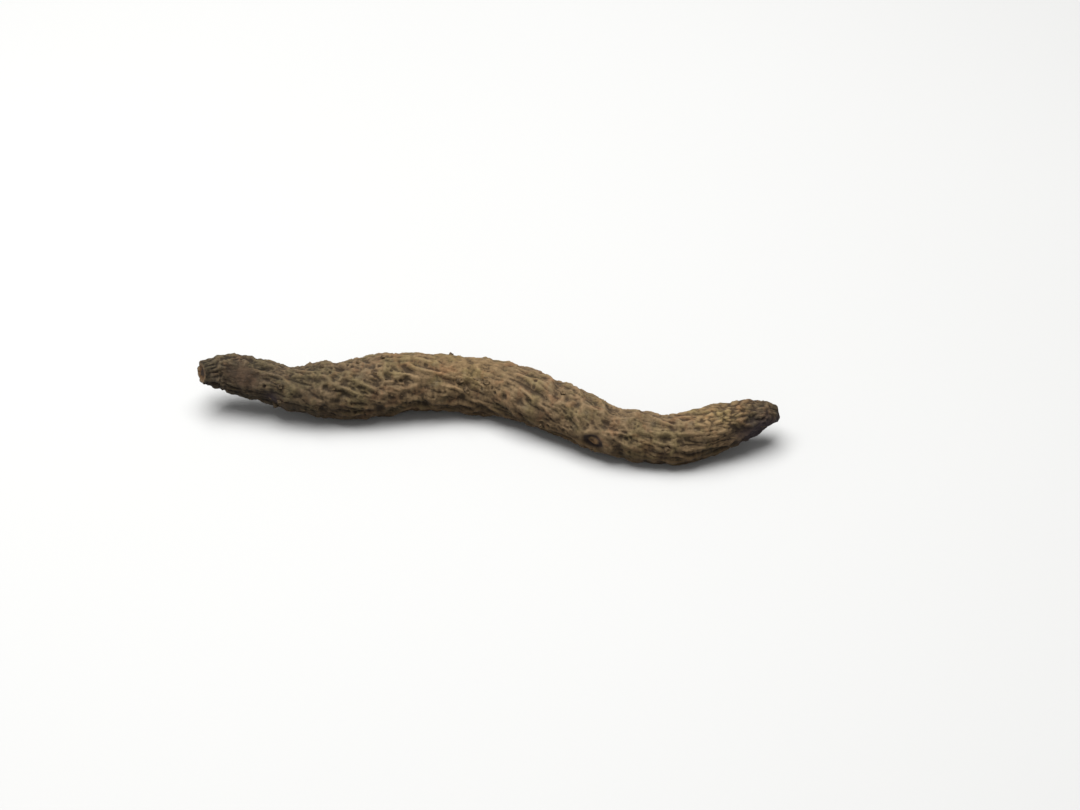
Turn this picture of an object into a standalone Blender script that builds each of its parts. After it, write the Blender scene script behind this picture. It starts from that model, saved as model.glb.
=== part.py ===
"""A dried golden eye-grass root: one long, S-bent rhizome with a wrinkled and scarred bark.

It lies along X on a flat surface, on three small flat spots, with the cut crown end at -X and the tip
at +X. +Z is up, -Y is the front, and the origin is under the middle of its bounding box. The root grew
as one piece, so it is one solid: its bark is raised by a formula, and its broken rootlets are fused in.
"""

import math
import random

import bmesh
import bpy
from mathutils import Matrix, Vector, noise

MM = 0.001

# The middle line from the crown to the tip, with the half thickness at each station: x, y, z, radius in mm.
STATIONS_MM = (
    (-54.3, 5.6, 9.05, 2.15),
    (-52.3, 6.5, 8.5, 2.45),
    (-50.3, 6.8, 8.1, 3.05),
    (-47.1, 6.3, 7.6, 3.65),
    (-42.9, 5.7, 7.0, 3.85),
    (-37.5, 4.7, 6.3, 4.05),
    (-31.9, 4.7, 5.5, 4.95),
    (-26.2, 5.3, 5.2, 5.5),
    (-19.5, 6.2, 5.5, 5.6),
    (-12.7, 6.7, 5.7, 5.3),
    (-5.2, 6.9, 5.0, 5.15),
    (0.6, 6.2, 4.9, 5.15),
    (6.3, 3.9, 5.4, 5.0),
    (12.0, 0.6, 5.5, 4.95),
    (17.7, -2.8, 5.2, 4.65),
    (22.4, -5.5, 4.8, 4.35),
    (28.0, -6.9, 4.3, 4.5),
    (33.6, -7.5, 4.2, 4.55),
    (38.7, -7.0, 4.7, 4.5),
    (43.1, -5.9, 5.3, 4.25),
    (47.4, -4.5, 5.8, 3.8),
    (50.8, -3.6, 6.1, 3.0),
    (53.3, -3.1, 6.2, 2.0),
    (55.1, -2.8, 6.2, 1.1),
)
DISH_MM = 0.35  # how far the cut face at the crown sinks in towards its middle
FACE = ((1.0, 0.0), (0.7, 0.5), (0.0, 0.84))  # points of that face: share of its depth, share of its radius
EDGE = (0.12, 0.97)  # where its rounded rim ends: distance along in mm, share of its radius
SIDE_FROM_MM = 0.4
RIM_CALM = 0.65  # how much smoother the bark is at the rim of that face, and how far along that lasts
RIM_CALM_MM = 1.4
TIP_ROUND_MM = 0.9  # length of the rounded tip
TIP_STEPS = 8
END_RELIEF = 0.15  # share of the relief that stays at the middle of the two ends

# The mesh: sides round the root, rings from the crown's middle to the tip, and the steps between two
# stations when the middle line is measured.
AROUND = 38
RINGS = 127
FINE_STEPS = 24

# Broad lumps, and a raised net of ridges drawn out along the root, which turns slowly round it.
LUMP_MM = 0.48
LUMP_LENGTH_MM = 9.0
LUMP_WIDTH_MM = 5.0
NET_MM = 0.6
NET_LENGTH_MM = 6.0
NET_WIDTH_MM = 2.6
NET_LEVEL = 0.55  # how high the net's ridges stand, and how steeply they fall to its furrows
NET_FALL = 2.4
NET_TURN_DEG_PER_MM = -2.0
WANDER = 0.35  # how far the ridges wander, and over what length and width
WANDER_LENGTH_MM = 4.0
WANDER_WIDTH_MM = 3.0

# Creases that run part of the way round, with a low roll on each side.
CREASE_MM = 0.22
CREASE_WIDTH_MM = 0.8
CREASE_FIRST_MM = 11.0  # distance of the first crease from the crown, and of the last one from the tip
CREASE_LAST_MM = 6.0
CREASE_GAP_MM = (4.5, 8.0)
CREASE_WAVE_MM = 1.1
CREASE_DEPTHS = (0.10, 1.0)  # share of its depth that a crease has on its shallow and on its deep side
CREASE_ROLL = 0.45  # height of the rolls beside it, as a share of its depth, and in crease widths their
CREASE_ROLL_AT = 1.5  # place and width, and how far a crease reaches
CREASE_ROLL_WIDTH = 0.7
CREASE_REACH = 3.0

# Large scars where rootlets left the root: distance along in mm, degrees round from the top to the front,
# and radius in mm.
SCARS = (
    (24.0, 44, 1.1),
    (26.0, 72, 1.3),
    (26.0, 22, 1.2),
    (34.0, 96, 1.7),
    (36.5, 32, 1.4),
    (47.0, 205, 1.8),
    (52.5, 318, 1.6),
    (61.0, 62, 1.2),
    (66.0, 250, 1.8),
    (80.0, 88, 2.2),
    (84.5, 330, 1.7),
    (92.0, 48, 1.5),
    (97.5, 215, 1.6),
    (104.0, 110, 1.3),
)
SCAR_PIT = 0.30  # depth of a scar's pit and height of its rim, as shares of its radius
SCAR_RIM = 0.22
SCAR_CALM = 0.7  # how much of the net a scar clears away
SCAR_REACH = 2.5  # these five are in radii: a scar's reach, where its rim is, and each slope's width
RIM_AT = 0.95
RIM_WIDTH = 0.38
PIT_WIDTH = 0.55
CALM_WIDTH = 1.1
EYE = (80.0, 88, 0.9)  # the boss in the middle of the largest scar: distance along, degrees round, radius
EYE_BOSS_MM = 0.55
PORES = 70  # smaller, shallower scars, from this far behind the crown to this far from the tip
PORES_FROM_MM = 12.0
PORES_TO_MM = 3.0
PORE_RADIUS_MM = (0.9, 1.3)
PORE_PIT = 0.18
PORE_RIM = 0.06

# The smooth sunken patch near the crown, where old bark came off: distance along, degrees round, and its
# half sizes in mm.
PATCH = (8.6, 46, 3.9, 2.3)
PATCH_DEPTH_MM = 0.45
PATCH_CALM = 0.85

# The knobbly collar behind the cut face, and the strings of old bark that wind along the neck behind it.
COLLAR_AT_MM = 3.6
COLLAR_WIDTH_MM = 1.7
COLLAR_MM = 0.34
COLLAR_KNOBS = 8
STRINGS = 9
STRING_MM = 0.34
STRING_LEVEL = 0.6  # the share of their height that lies below the smooth root
STRING_TURN_PER_MM = 0.25  # radians of a string's wave for each mm along
STRINGS_END_MM = (9.0, 17.0)  # the strings fade away between these distances along

# The three places that it rests on: x and y in mm. Each is a low swelling of the underside, cut flat, and
# the rest of the underside stays clear of the surface.
FEET_MM = ((-25.7, 5.7), (-1.3, 6.9), (32.9, -7.6))
FOOT_MM = 0.38
FOOT_LENGTH_MM = 3.2
FOOT_WIDTH_MM = 2.4
FOOT_REACH_MM = 1.5
FOOT_CALM = 0.85
CLEAR_MM = 0.25
CLEAR_SOFT_MM = 0.15
CUTTER_MM = (200, 100, 10)  # the block that cuts the feet flat: its top is at z = 0

# Broken rootlets, from this far behind the crown to this far from the tip
ROOTLETS = 26
ROOTLETS_FROM_MM = 14.0
ROOTLETS_TO_MM = 7.0
ROOTLET_SIDES = 6
ROOTLET_FOOT_MM = (0.75, 1.05)
ROOTLET_END = 0.5  # a rootlet's radius at its broken end, as a share of that at its foot
ROOTLET_HEIGHT_MM = (0.45, 0.95)
ROOTLET_SUNK_MM = 1.3
ROOTLET_LEAN = 0.35
ROOTLET_FLOOR_MM = 0.8  # no rootlet comes nearer than this to the surface below
ROOTLET_EYE_MM = 5.0  # nor than this, along the root, to the largest scar
SEED = 7

BARK_COLOUR = (0.105, 0.075, 0.042, 1.0)
BARK_ROUGHNESS = 0.9


def smooth(values, place):
    """A row of numbers read at a place between them, on a Catmull-Rom curve."""
    last = len(values) - 1
    i = min(int(place), last - 1)
    f = place - i
    a, b, c, d = (values[min(max(i + k, 0), last)] for k in (-1, 0, 1, 2))
    return 0.5 * (2 * b + (c - a) * f + (2 * a - 5 * b + 4 * c - d) * f**2 + (3 * b - a - 3 * c + d) * f**3)


def bell(x):
    return math.exp(-x * x)


def ease(x, low, high):
    """0 at low and 1 at high, with a smooth rise between them."""
    t = min(max((x - low) / (high - low), 0.0), 1.0)
    return t * t * (3 - 2 * t)


def apart(angle, other):
    """The turn from one angle to another, between minus half a turn and half a turn."""
    return (angle - other + math.pi) % math.tau - math.pi


class MiddleLine:
    """The root's middle line, read by the distance along it from the crown, in mm."""

    def __init__(self, stations):
        columns = list(zip(*stations))
        steps = (len(stations) - 1) * FINE_STEPS
        rows = [[smooth(column, i / FINE_STEPS) for column in columns] for i in range(steps + 1)]
        self.points = [Vector(row[:3]) for row in rows]
        self.radii = [row[3] for row in rows]
        self.along = [0.0]
        for before, after in zip(self.points, self.points[1:]):
            self.along.append(self.along[-1] + (after - before).length)
        self.length = self.along[-1]

    def at(self, distance):
        """The point, radius, forward direction, upward direction and front direction there."""
        distance = min(max(distance, 0.0), self.length)
        i = 1
        while self.along[i] < distance and i < len(self.along) - 1:
            i += 1
        f = (distance - self.along[i - 1]) / (self.along[i] - self.along[i - 1])
        point = self.points[i - 1].lerp(self.points[i], f)
        radius = self.radii[i - 1] * (1 - f) + self.radii[i] * f
        forward = self.points[min(i + 3, len(self.points) - 1)] - self.points[max(i - 4, 0)]
        forward.normalize()
        front = forward.cross(Vector((0, 0, 1))).normalized()
        return point, radius, forward, front.cross(forward), front


def outline(line):
    """(distance along, radius) from the middle of the crown's cut face, over its rim and down to the tip."""
    rim = line.radii[0]
    rows = [(DISH_MM * depth, rim * share) for depth, share in FACE]
    rows.append((EDGE[0], rim * EDGE[1]))
    body = [(a, r) for a, r in zip(line.along, line.radii) if SIDE_FROM_MM < a < line.length - TIP_ROUND_MM]
    rows += body
    end_along, end_radius = body[-1]
    for k in range(1, TIP_STEPS + 1):
        turn = k / TIP_STEPS * math.pi / 2
        rows.append((end_along + TIP_ROUND_MM * math.sin(turn), end_radius * math.cos(turn)))
    return rows


def spread_evenly(rows, count):
    """The rows resampled to count + 1 rows, evenly spaced along the outline."""
    gone = [0.0]
    for (a, r), (b, q) in zip(rows, rows[1:]):
        gone.append(gone[-1] + math.hypot(b - a, q - r))
    spread, i = [], 1
    for k in range(count + 1):
        want = gone[-1] * k / count
        while gone[i] < want and i < len(gone) - 1:
            i += 1
        f = (want - gone[i - 1]) / (gone[i] - gone[i - 1])
        (a, r), (b, q) = rows[i - 1], rows[i]
        spread.append((a + (b - a) * f, r + (q - r) * f))
    return spread


def slopes(rows):
    """The outline's direction at each row, as unit (along, outward) pairs."""
    found = []
    for i in range(len(rows)):
        (a, r), (b, q) = rows[max(i - 1, 0)], rows[min(i + 1, len(rows) - 1)]
        size = math.hypot(b - a, q - r)
        found.append(((b - a) / size, (q - r) / size))
    return found


def creases(length):
    """(distance along, side it is deepest on) for each crease."""
    draw = random.Random(SEED)
    found, along = [], CREASE_FIRST_MM
    while along < length - CREASE_LAST_MM:
        found.append((along, draw.uniform(0, math.tau)))
        along += draw.uniform(*CREASE_GAP_MM)
    return found


def scars(length):
    """(distance along, angle, radius, pit, rim) for the large scars and then the pores."""
    draw = random.Random(SEED + 2)
    found = [(along, math.radians(side), radius, SCAR_PIT, SCAR_RIM) for along, side, radius in SCARS]
    for _ in range(PORES):
        along = draw.uniform(PORES_FROM_MM, length - PORES_TO_MM)
        side, radius = draw.uniform(0, math.tau), draw.uniform(*PORE_RADIUS_MM)
        found.append((along, side, radius, PORE_PIT, PORE_RIM))
    return found


def lumps_and_net(along, angle, radius):
    turned = angle + math.radians(NET_TURN_DEG_PER_MM) * along
    across = Vector((0, radius * math.cos(turned), radius * math.sin(turned)))
    lump = noise.noise(Vector((along / LUMP_LENGTH_MM, 0, 0)) + across / LUMP_WIDTH_MM)
    wander = WANDER * noise.noise(Vector((along / WANDER_LENGTH_MM, 9.0, 0)) + across / WANDER_WIDTH_MM)
    ridge = abs(noise.noise(Vector((along / NET_LENGTH_MM, wander, 5.0)) + across / NET_WIDTH_MM))
    return LUMP_MM * lump + NET_MM * (NET_LEVEL - NET_FALL * ridge)


def crease_height(along, angle, crease_rows):
    height = 0.0
    for place, side in crease_rows:
        gap = (along - place - CREASE_WAVE_MM * math.sin(2 * angle + side)) / CREASE_WIDTH_MM
        if abs(gap) < CREASE_REACH:
            shallow, deep = CREASE_DEPTHS
            share = shallow + (deep - shallow) * (0.5 + 0.5 * math.cos(angle - side))
            roll = bell((abs(gap) - CREASE_ROLL_AT) / CREASE_ROLL_WIDTH)
            height -= CREASE_MM * share * (bell(gap) - CREASE_ROLL * roll)
    return height


def relief(along, angle, radius, crease_rows, scar_rows):
    """How far the bark stands out of the smooth root there, in mm."""
    calm = 1.0
    height = crease_height(along, angle, crease_rows)
    for place, side, size, pit, rim in scar_rows:
        gap = math.hypot(along - place, apart(angle, side) * radius) / size
        if gap < SCAR_REACH:
            height += size * (rim * bell((gap - RIM_AT) / RIM_WIDTH) - pit * bell(gap / PIT_WIDTH))
            calm = min(calm, 1 - SCAR_CALM * bell(gap / CALM_WIDTH))
    place, side, size = EYE
    gap = math.hypot(along - place, apart(angle, math.radians(side)) * radius) / size
    height += EYE_BOSS_MM * bell(gap**2)
    place, side, half_length, half_width = PATCH
    gap = math.hypot((along - place) / half_length, apart(angle, math.radians(side)) * radius / half_width)
    height -= PATCH_DEPTH_MM * bell(gap**2)
    calm = min(calm, 1 - PATCH_CALM * bell(gap**2))
    knobs = 0.5 + 0.5 * math.sin(COLLAR_KNOBS * angle + along)
    height += calm * COLLAR_MM * knobs * bell((along - COLLAR_AT_MM) / COLLAR_WIDTH_MM)
    string = abs(math.sin(STRINGS / 2 * angle + STRING_TURN_PER_MM * along)) - STRING_LEVEL
    height += calm * STRING_MM * string * (1 - ease(along, *STRINGS_END_MM))
    return calm * lumps_and_net(along, angle, radius) + height


def foot_share(point):
    """How far a point in mm belongs to one of the three feet, from 0 to 1."""
    gaps = [((point.x - x) / FOOT_LENGTH_MM, (point.y - y) / FOOT_WIDTH_MM) for x, y in FEET_MM]
    nearest = min(math.hypot(*gap) for gap in gaps)
    return bell(nearest) * bell(max(point.z, 0.0) / FOOT_REACH_MM)


def settled(point, share):
    """The point in mm with the underside lifted clear of the surface, and let down again at the feet."""
    above = CLEAR_SOFT_MM * math.log1p(math.exp((point.z - CLEAR_MM) / CLEAR_SOFT_MM))
    return Vector((point.x, point.y, CLEAR_MM + above - FOOT_MM * share))


def surface_point(line, along, outline_radius, angle, slope, crease_rows, scar_rows):
    """A point of the bark in mm: the smooth root's point, moved out along its normal by the relief."""
    point, full, forward, up, front = line.at(along)
    outward = up * math.cos(angle) + front * math.sin(angle)
    normal = outward * slope[0] - forward * slope[1]
    plain = point + outward * outline_radius
    share = foot_share(plain)
    fade = min(1.0, outline_radius / full + END_RELIEF) * (1 - RIM_CALM * bell(along / RIM_CALM_MM))
    height = relief(along, angle, outline_radius, crease_rows, scar_rows) * fade * (1 - FOOT_CALM * share)
    return settled(plain + normal * height, share)


def add_rhizome(line, collection, bark):
    """The root's body: a sphere whose rings are drawn out along the middle line."""
    rows = spread_evenly(outline(line), RINGS)
    slope_rows = slopes(rows)
    crease_rows, scar_rows = creases(line.length), scars(line.length)
    bm = bmesh.new()
    bmesh.ops.create_uvsphere(bm, u_segments=AROUND, v_segments=RINGS, radius=1.0)
    for vertex in bm.verts:
        x, y, z = vertex.co
        ring = round(math.acos(max(-1.0, min(1.0, z))) / math.pi * RINGS)
        along, radius = rows[ring]
        angle, slope = math.atan2(y, x), slope_rows[ring]
        vertex.co = surface_point(line, along, radius, angle, slope, crease_rows, scar_rows) * MM
    bmesh.ops.triangulate(bm, faces=bm.faces)
    bmesh.ops.recalc_face_normals(bm, faces=bm.faces)
    mesh = bpy.data.meshes.new("rhizome")
    bm.to_mesh(mesh)
    bm.free()
    mesh.materials.append(bark)
    mesh.shade_smooth()
    rhizome = bpy.data.objects.new("rhizome", mesh)
    collection.objects.link(rhizome)
    return rhizome


def rootlet_places(line):
    """(distance along, angle, foot radius, height) for each rootlet, clear of the surface and the eye."""
    draw = random.Random(SEED + 1)
    found = []
    while len(found) < ROOTLETS:
        along = draw.uniform(ROOTLETS_FROM_MM, line.length - ROOTLETS_TO_MM)
        angle = draw.uniform(0, math.tau)
        size = draw.uniform(*ROOTLET_FOOT_MM)
        height = draw.uniform(*ROOTLET_HEIGHT_MM)
        point, radius, _, up, front = line.at(along)
        end = point + (up * math.cos(angle) + front * math.sin(angle)) * (radius + height)
        if end.z > ROOTLET_FLOOR_MM + size and abs(along - EYE[0]) > ROOTLET_EYE_MM:
            found.append((along, angle, size, height))
    return found


def add_rootlets(line, collection):
    """Broken rootlets as short cones that lean towards the tip, with their feet well inside the root."""
    for number, (along, angle, size, height) in enumerate(rootlet_places(line)):
        point, radius, forward, up, front = line.at(along)
        outward = up * math.cos(angle) + front * math.sin(angle)
        lean = (outward + forward * ROOTLET_LEAN).normalized()
        foot = point + outward * (radius - ROOTLET_SUNK_MM)
        tall = height + ROOTLET_SUNK_MM
        bm = bmesh.new()
        bmesh.ops.create_cone(
            bm,
            cap_ends=True,
            segments=ROOTLET_SIDES,
            radius1=size * MM,
            radius2=size * ROOTLET_END * MM,
            depth=tall * MM,
            matrix=Matrix.Translation((0, 0, tall / 2 * MM)),
        )
        mesh = bpy.data.meshes.new(f"rootlet_{number:02d}")
        bm.to_mesh(mesh)
        bm.free()
        rootlet = bpy.data.objects.new(mesh.name, mesh)
        turn = lean.to_track_quat("Z", "Y").to_matrix().to_4x4()
        rootlet.matrix_world = Matrix.Translation(foot * MM) @ turn
        collection.objects.link(rootlet)


def fuse(body, collection):
    """Joins every object of the collection to the body, as one solid, and removes them."""
    union = body.modifiers.new("rootlets", "BOOLEAN")
    union.operation = "UNION"
    union.operand_type = "COLLECTION"
    union.collection = collection
    union.solver = "MANIFOLD"
    bpy.context.view_layer.update()
    fused = bpy.data.meshes.new_from_object(body.evaluated_get(bpy.context.evaluated_depsgraph_get()))
    body.modifiers.remove(union)
    body.data = fused
    fused.name = body.name
    for rootlet in list(collection.objects):
        bpy.data.objects.remove(rootlet)
    bpy.data.collections.remove(collection)


def flatten_feet(body, collection):
    """Cuts off what lies below z = 0, which leaves the flat spots that the root rests on."""
    length, width, depth = (size * MM for size in CUTTER_MM)
    bpy.ops.mesh.primitive_cube_add(size=1.0, location=(0, 0, -depth / 2))
    below = bpy.context.object
    below.name = "below_the_root"
    below.data.transform(Matrix.Diagonal((length, width, depth, 1)))
    below.hide_render = True
    below.display_type = "WIRE"
    for holder in list(below.users_collection):
        holder.objects.unlink(below)
    collection.objects.link(below)
    cut = body.modifiers.new("flat_spots", "BOOLEAN")
    cut.operation = "DIFFERENCE"
    cut.object = below


def bark_material():
    bark = bpy.data.materials.new("root_bark")
    bark.use_nodes = True
    shader = bark.node_tree.nodes["Principled BSDF"]
    shader.inputs["Base Color"].default_value = BARK_COLOUR
    shader.inputs["Roughness"].default_value = BARK_ROUGHNESS
    shader.inputs["Metallic"].default_value = 0.0
    bark.diffuse_color = BARK_COLOUR
    return bark


def new_collection(name):
    collection = bpy.data.collections.new(name)
    bpy.context.scene.collection.children.link(collection)
    return collection


def main():
    for obj in list(bpy.data.objects):
        bpy.data.objects.remove(obj)
    root = new_collection("golden_eye_grass_root")
    cutters = new_collection("cutters")
    rootlets = new_collection("rootlets")
    line = MiddleLine(STATIONS_MM)
    rhizome = add_rhizome(line, root, bark_material())
    add_rootlets(line, rootlets)
    fuse(rhizome, rootlets)
    flatten_feet(rhizome, cutters)


main()
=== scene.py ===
"""A dried golden eye-grass root, dressed for a picture on a plain pale floor.

Laid out as an add-on and run as a script. Lengths in the settings are in metres, as Blender has them, and
those in the shape's own constants are in mm, as their names say. The root lies along X, its crown at -X.
"""
import math
import random
from functools import lru_cache

import bmesh
import bpy
import numpy as np
from bpy.props import FloatProperty, FloatVectorProperty, IntProperty, PointerProperty
from bpy.types import Operator, Panel, PropertyGroup
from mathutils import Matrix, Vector, noise


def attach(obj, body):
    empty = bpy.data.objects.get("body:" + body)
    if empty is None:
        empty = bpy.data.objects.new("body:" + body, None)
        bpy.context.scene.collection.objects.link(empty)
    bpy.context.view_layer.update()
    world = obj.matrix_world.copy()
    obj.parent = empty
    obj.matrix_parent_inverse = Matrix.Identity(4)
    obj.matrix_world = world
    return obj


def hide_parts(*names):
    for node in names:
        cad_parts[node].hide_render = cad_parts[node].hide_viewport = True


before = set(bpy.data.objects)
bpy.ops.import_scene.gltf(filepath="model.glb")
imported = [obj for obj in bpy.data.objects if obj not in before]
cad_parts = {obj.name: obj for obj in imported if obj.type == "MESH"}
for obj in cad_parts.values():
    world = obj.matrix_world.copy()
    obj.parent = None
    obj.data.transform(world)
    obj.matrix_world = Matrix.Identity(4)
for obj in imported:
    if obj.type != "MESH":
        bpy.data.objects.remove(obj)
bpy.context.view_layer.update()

bl_info = {
    "name": "Dried Golden Eye-Grass Root",
    "version": (1, 0, 0),
    "blender": (4, 5, 0),
    "location": "3D View > Sidebar > Dried Root",
    "description": "Makes the bark, broken rootlets and bark scales of a dried root, and a stage for it",
    "category": "Add Mesh",
}

BODY = "root"
NODE = "rhizome"
MM = 0.001

# The middle line from the crown to the tip, with the half thickness at each station: x, y, z, radius in mm.
STATIONS_MM = (
    (-54.3, 5.6, 9.05, 2.15),
    (-52.3, 6.5, 8.5, 2.45),
    (-50.3, 6.8, 8.1, 3.05),
    (-47.1, 6.3, 7.6, 3.65),
    (-42.9, 5.7, 7.0, 3.85),
    (-37.5, 4.7, 6.3, 4.05),
    (-31.9, 4.7, 5.5, 4.95),
    (-26.2, 5.3, 5.2, 5.5),
    (-19.5, 6.2, 5.5, 5.6),
    (-12.7, 6.7, 5.7, 5.3),
    (-5.2, 6.9, 5.0, 5.15),
    (0.6, 6.2, 4.9, 5.15),
    (6.3, 3.9, 5.4, 5.0),
    (12.0, 0.6, 5.5, 4.95),
    (17.7, -2.8, 5.2, 4.65),
    (22.4, -5.5, 4.8, 4.35),
    (28.0, -6.9, 4.3, 4.5),
    (33.6, -7.5, 4.2, 4.55),
    (38.7, -7.0, 4.7, 4.5),
    (43.1, -5.9, 5.3, 4.25),
    (47.4, -4.5, 5.8, 3.8),
    (50.8, -3.6, 6.1, 3.0),
    (53.3, -3.1, 6.2, 2.0),
    (55.1, -2.8, 6.2, 1.1),
)
DISH_MM = 0.35  # how far the cut face at the crown sinks in towards its middle
FACE = ((1.0, 0.0), (0.7, 0.5), (0.0, 0.84))  # points of that face: share of its depth, share of its radius
EDGE = (0.12, 0.97)  # where its rounded rim ends: distance along in mm, share of its radius
SIDE_FROM_MM = 0.4
RIM_CALM = 0.65  # how much smoother the bark is at the rim of that face, and how far along that lasts
RIM_CALM_MM = 1.4
TIP_ROUND_MM = 0.9  # length of the rounded tip
TIP_STEPS = 8
END_RELIEF = 0.15  # share of the relief that stays at the middle of the two ends
FINE_STEPS = 24  # steps between two stations when the middle line is measured

# The bark's mesh: sides round the root, rings along it, and the first and last ring of its plain side.
BARK_SIDES = 174
BARK_RINGS = 560
SIDE_RINGS = (40, -9)

# The relief that the solid has too: lumps, the raised net, creases, scars, the sunken patch and the collar.
LUMP_MM = 0.48
LUMP_LENGTH_MM = 9.0
LUMP_WIDTH_MM = 5.0
NET_LENGTH_MM = 6.0
NET_WIDTH_MM = 2.6
NET_LEVEL = 0.55  # how high the net's ridges stand, and how steeply they fall to its furrows
NET_FALL = 2.4
NET_TURN_DEG_PER_MM = -2.0
WANDER = 0.35  # how far the ridges wander, and over what length and width
WANDER_LENGTH_MM = 4.0
WANDER_WIDTH_MM = 3.0
CREASE_MM = 0.22
CREASE_WIDTH_MM = 0.8
CREASE_FIRST_MM = 11.0
CREASE_LAST_MM = 6.0
CREASE_GAP_MM = (4.5, 8.0)
CREASE_WAVE_MM = 1.1
CREASE_DEPTHS = (0.10, 1.0)  # share of its depth that a crease has on its shallow and on its deep side
CREASE_ROLL = 0.45  # height of the rolls beside it, as a share of its depth
CREASE_ROLL_AT = 1.5  # their place and width, in crease widths
CREASE_ROLL_WIDTH = 0.7
SCARS = (  # distance along in mm, degrees round from the top to the front, radius in mm
    (24.0, 44, 1.1),
    (26.0, 72, 1.3),
    (26.0, 22, 1.2),
    (34.0, 96, 1.7),
    (36.5, 32, 1.4),
    (47.0, 205, 1.8),
    (52.5, 318, 1.6),
    (61.0, 62, 1.2),
    (66.0, 250, 1.8),
    (80.0, 88, 2.2),
    (84.5, 330, 1.7),
    (92.0, 48, 1.5),
    (97.5, 215, 1.6),
    (104.0, 110, 1.3),
)
PORES = 70  # smaller, shallower scars, from this far behind the crown to this far from the tip
PORES_FROM_MM = 12.0
PORES_TO_MM = 3.0
PORE_RADIUS_MM = (0.9, 1.3)
PORE_PIT = 0.18
PORE_RIM = 0.06
SCAR_PIT = 0.30  # depth of a scar's pit and height of its rim, as shares of its radius
SCAR_RIM = 0.16
SCAR_CALM = 0.7  # how much of the net a scar clears away
SCAR_REACH = 2.5  # these five are in radii: a scar's reach, where its rim is, and each slope's width
RIM_AT = 0.95
RIM_WIDTH = 0.38
PIT_WIDTH = 0.55
CALM_WIDTH = 1.1
UNEVEN_PORE = 0.55  # how far the outlines of pores and of large scars stray from round
UNEVEN_SCAR = 0.33
EYE = (80.0, 88, 0.9)  # the boss in the middle of the largest scar: distance along, degrees round, radius
EYE_BOSS_MM = 0.55
SOCKET_AT = 1.35  # the groove round that boss, in its radii, and how far the pitted bark keeps clear
SOCKET_WIDTH = 0.4
SOCKET_REACH = 3.0
SOCKET_MM = 0.3
PATCH = (8.6, 46, 3.9, 2.3)  # distance along in mm, degrees round, and its half sizes in mm
PATCH_DEPTH_MM = 0.45
PATCH_CALM = 0.85
COLLAR_AT_MM = 3.6
COLLAR_WIDTH_MM = 1.7
COLLAR_MM = 0.34
COLLAR_KNOBS = 8
STRINGS = 9
STRING_MM = 0.34
STRING_LEVEL = 0.6  # the share of their height that lies below the smooth root
STRING_TURN_PER_MM = 0.25  # radians of a string's wave for each mm along
STRINGS_END_MM = (9.0, 17.0)  # the strings fade away between these distances along

# The three flat spots that it rests on.
FEET_MM = ((-25.7, 5.7), (-1.3, 6.9), (32.9, -7.6))
FOOT_MM = 0.38
FOOT_LENGTH_MM = 3.2
FOOT_WIDTH_MM = 2.4
FOOT_REACH_MM = 1.5
FOOT_CALM = 0.85
CLEAR_MM = 0.25  # how far the rest of the underside stays off the surface, and how softly that sets in
CLEAR_SOFT_MM = 0.15
CLEAR_BELOW_MM = 3.0  # points above this height stay where they are
EXP_LIMIT = 60  # keeps the soft step's exponent from growing past what a number holds

# Broken rootlets, at the same places as on the solid.
ROOTLETS = 26
ROOTLETS_FROM_MM = 14.0
ROOTLETS_TO_MM = 7.0
ROOTLET_FOOT_MM = (0.75, 1.05)
ROOTLET_END = 0.5  # radius of its end, as a share of its foot's
ROOTLET_HEIGHT_MM = (0.45, 0.95)
ROOTLET_SUNK_MM = 1.3
ROOTLET_LEAN = 0.35
ROOTLET_FLOOR_MM = 0.8
ROOTLET_EYE_MM = 5.0  # none stands nearer to the eye scar than this, measured along
SEED = 7

# Kinds of bark: distance along in mm, degrees round, half length in mm and half turn in radians.
RUBBED = (51, 20, 9, 1.3)
PITTED = (29, 0, 12)
PITTED_WAIST = (76, 0, 7)
STRIPED = (55, 0, 14)
STRIPED_TIP = (96, 0, 12)
LESSER_ZONE = 0.5  # how much the waist and tip zones count beside the other two
ZONE_EDGE = (0.45, 0.5)  # how softly the pitted and the striped bark set in
KNOBBLY = (105, 10, 8, 1.1)
CROSSED = ((92, 100, 7, 0.8), (43, 60, 4, 1.4))
CROSSED_CROWN = (3, 0, 6)
CROSSED_CROWN_SHARE = 0.8
CROSSED_ALL = 0.25
PURPLE = ((1.3, (110, 105, 5, 0.95)), (1.0, (15, 96, 1.6, 0.35)))  # each with its strength first
# Painted shade: the groove round the eye boss also takes the dark purple.
SOCKET_SHADE = 0.6
PALE = ((1.2, (104, 5, 6, 0.9)), (0.7, (51, 10, 10, 1.0)))
PALE_BOSS = 1.2
DARKER = ((0.92, 46, 4), (0.3, 4, 1), (0.85, 101, 111))  # strength, and where it sets in and is full, in mm
DARKEST = 1.2
FACE_RADIUS = (0.90, 0.80)  # the cut face begins between these shares of the radius and this far along
FACE_END_MM = (1.0, 0.5)
SHADED_UNDERSIDE = (-0.6, 0.35)  # how far down the bark faces where the painted shade of the underside sets in and is full

# Noise fields of the relief: length and width in mm, and where in the noise each one is read.
DRIFT_FIELD = (14.0, 7.0, (3, 8, 1))
UNEVEN_FIELD = (1.6, 1.6, (60, 0, 0))
WARP_FIELD = (2.2, 2.2, (11, 0, 0))
ROLL_FIELD = (5.0, 0.95, (0, 0, 31))
ACROSS_FIELD = (0.85, 3.6, (0, 70, 0))
CRINKLE_FIELD = (0.95, 0.75, (40, 0, 0))
ROUGH_FIELD = (0.5, 0.42, (0, 50, 0))
STRAND_FIELD = (6.0, 0.62, (80, 0, 0))
NET_CELLS = (1.9, 0.85, (0, 20, 0))
KNOB_CELLS = (1.9, 1.05, (0, 33, 0))

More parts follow.
